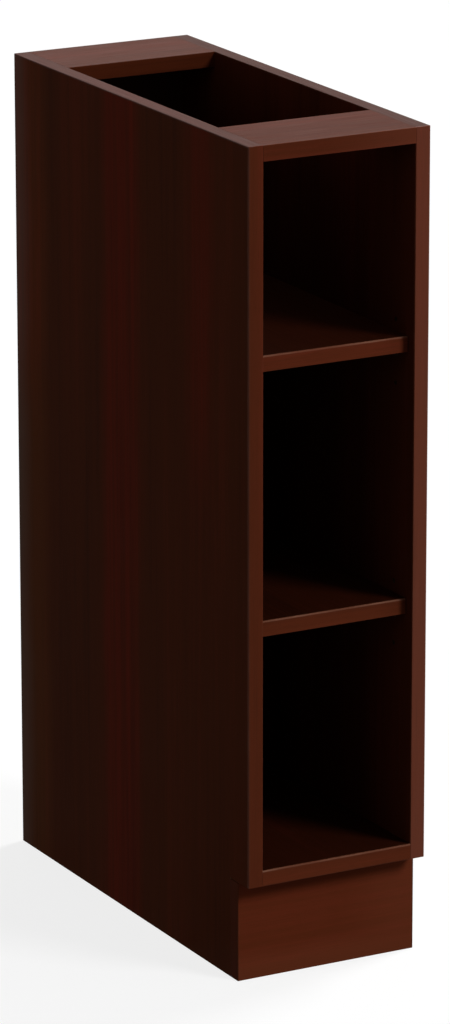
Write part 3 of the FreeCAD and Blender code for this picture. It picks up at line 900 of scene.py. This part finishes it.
# %% [markdown]
# ## Stage
# The picture shows flat light: the front is lit from the right, the top from above, and the left
# side mostly by the light of the room. One strong white surrounding would be simplest, but a dark
# wood would look washed out in it. So the white that the camera sees comes from the surrounding's
# own strength of 1, and the light that it throws on the cabinet is a fraction of that.


# %% Parts of a picture that the camera, gloss and glass see
def seen_directly(add, join):
    """1 for rays from the camera, from gloss and through glass, and 0 for light that spreads."""
    path = add("ShaderNodeLightPath")
    share = path.outputs["Is Camera Ray"]
    for kind in ("Is Glossy Ray", "Is Transmission Ray"):
        both = add("ShaderNodeMath")
        both.operation = "MAXIMUM"
        join(share, both.inputs[0])
        join(path.outputs[kind], both.inputs[1])
        share = both.outputs[0]
    return share


# %% Surrounding
SOFT_LEVEL = 0.09
world = bpy.data.worlds.new("surrounding")
bpy.context.scene.world = world
world.use_nodes = True
world_tree = world.node_tree
background = world_tree.nodes["Background"]
background.inputs["Color"].default_value = (1, 1, 1, 1)
share = seen_directly(world_tree.nodes.new, world_tree.links.new)
strength = world_tree.nodes.new("ShaderNodeMapRange")
world_tree.links.new(share, strength.inputs[0])
strength.inputs[3].default_value = SOFT_LEVEL
strength.inputs[4].default_value = 1.0
world_tree.links.new(strength.outputs[0], background.inputs["Strength"])
print("the surrounding lights the cabinet with", SOFT_LEVEL, "of the white that is seen")

# %% [markdown]
# The floor is white like a paper sweep that is lit from behind: a part of its white is its own, and
# the rest is the light that falls on it, so that it still keeps a soft shadow of the cabinet. What
# it throws back on the cabinet is weak and even, or the low parts of the sides would lie in the
# floor's own shadow.

# %% Floor
FLOOR_HALF = 30.0
FLOOR_DROP = 0.1 * MM
FLOOR_GLOW, FLOOR_FILL, FLOOR_ROUGH = 0.82, 0.11, 0.9
FLOOR_SEEN = (0.17, 0.17, 0.17, 1.0)
FLOOR_LIGHTS = (0.02, 0.02, 0.02, 1.0)
floor_mesh = bpy.data.meshes.new("floor")
corners = FLOOR_HALF * np.array([[-1, -1, 0], [1, -1, 0], [1, 1, 0], [-1, 1, 0]], float)
floor_mesh.from_pydata((corners - [0, 0, FLOOR_DROP]).tolist(), [], [[0, 1, 2, 3]])
floor = bpy.data.objects.new("floor", floor_mesh)
bpy.context.scene.collection.objects.link(floor)
pale = Recipe("pale_floor", 0.0)
share = seen_directly(pale.add, pale.tree.links.new)
floor_mesh.materials.append(pale.finish(pale.mix(share, FLOOR_LIGHTS, FLOOR_SEEN), FLOOR_ROUGH))
glow = pale.between(share, 0.0, 1.0, FLOOR_FILL, FLOOR_GLOW)
pale.join(glow, pale.shader.inputs["Emission Strength"])

# %% [markdown]
# Lamps close to the cabinet would leave pools of light on the floor. Lamps that are very far away
# light it evenly, so that it meets the white of the surrounding without an edge, and their wide
# angles make the shadows soft. The key draws the slanting shadows on the shelves and the one on the
# plinth, and the low lamp beside it reaches under the bottom board and lightens them. One stands
# high on the right for the top, a faint one on the left, and one behind the cabinet.

# %% Lamps
from mathutils import Quaternion, Vector

LAMPS = {  # azimuth, elevation and spread in degrees, level
    "key": (33.5, 37, 18, 0.66),
    "low": (65, 5, 20, 0.2),
    "above": (105, 32, 20, 1.05),
    "left": (-75, 10, 40, 0.075),
    "rear": (170, 12, 60, 0.35),
}


def direction(azimuth, elevation):
    """Unit vector towards an azimuth, which is 0 in front of the unit, and an elevation."""
    a, e = np.radians(azimuth), np.radians(elevation)
    return Vector((np.sin(a) * np.cos(e), -np.cos(a) * np.cos(e), np.sin(e)))


def far_lamp(name, azimuth, elevation, spread, level):
    """Far lamp that lights a face turned towards it to a level: 1 shows a colour as written."""
    light = bpy.data.lights.new(name, "SUN")
    light.energy, light.angle = level * np.pi, np.radians(spread)
    lamp = bpy.data.objects.new(name, light)
    bpy.context.scene.collection.objects.link(lamp)
    lamp.rotation_mode = "QUATERNION"
    lamp.rotation_quaternion = (-direction(azimuth, elevation)).to_track_quat("-Z", "Y")
    lamp.visible_glossy = False
    print(name, "lamp at azimuth", azimuth, "and elevation", elevation, "degrees, level", level)


for name, numbers in LAMPS.items():
    far_lamp(name, *numbers)

# %% [markdown]
# ## Camera
# The camera could be moved by eye until the picture looks right. Here its place comes from the
# corners of the cabinet in the picture: it stands far off, to the left of the front and above it,
# with a long lens.

# %% Camera
LONG_SIDE_PX, SENSOR = 1024, 36.0
FOCAL_PX = 5778.0
AZIMUTH, ELEVATION, ROLL, DISTANCE = -28.35, 16.19, -0.061, 5.857
AIM = Vector((0.009, 0.0, 0.4113))
camera_data = bpy.data.cameras.new("camera")
camera_data.sensor_width = SENSOR
camera_data.lens = SENSOR * FOCAL_PX / LONG_SIDE_PX
camera = bpy.data.objects.new("camera", camera_data)
bpy.context.scene.collection.objects.link(camera)
bpy.context.scene.camera = camera
back = direction(AZIMUTH, ELEVATION)
camera.location = AIM + back * DISTANCE
camera.rotation_mode = "QUATERNION"
turn = (-back).to_track_quat("-Z", "Y")
camera.rotation_quaternion = turn @ Quaternion((0, 0, 1), np.radians(ROLL))
print("lens", round(camera_data.lens, 1), "mm")

# %% [markdown]
# At the end the colours are shown as they are, with the Standard view transform.

# %% End
bpy.context.scene.view_settings.view_transform = "Standard"
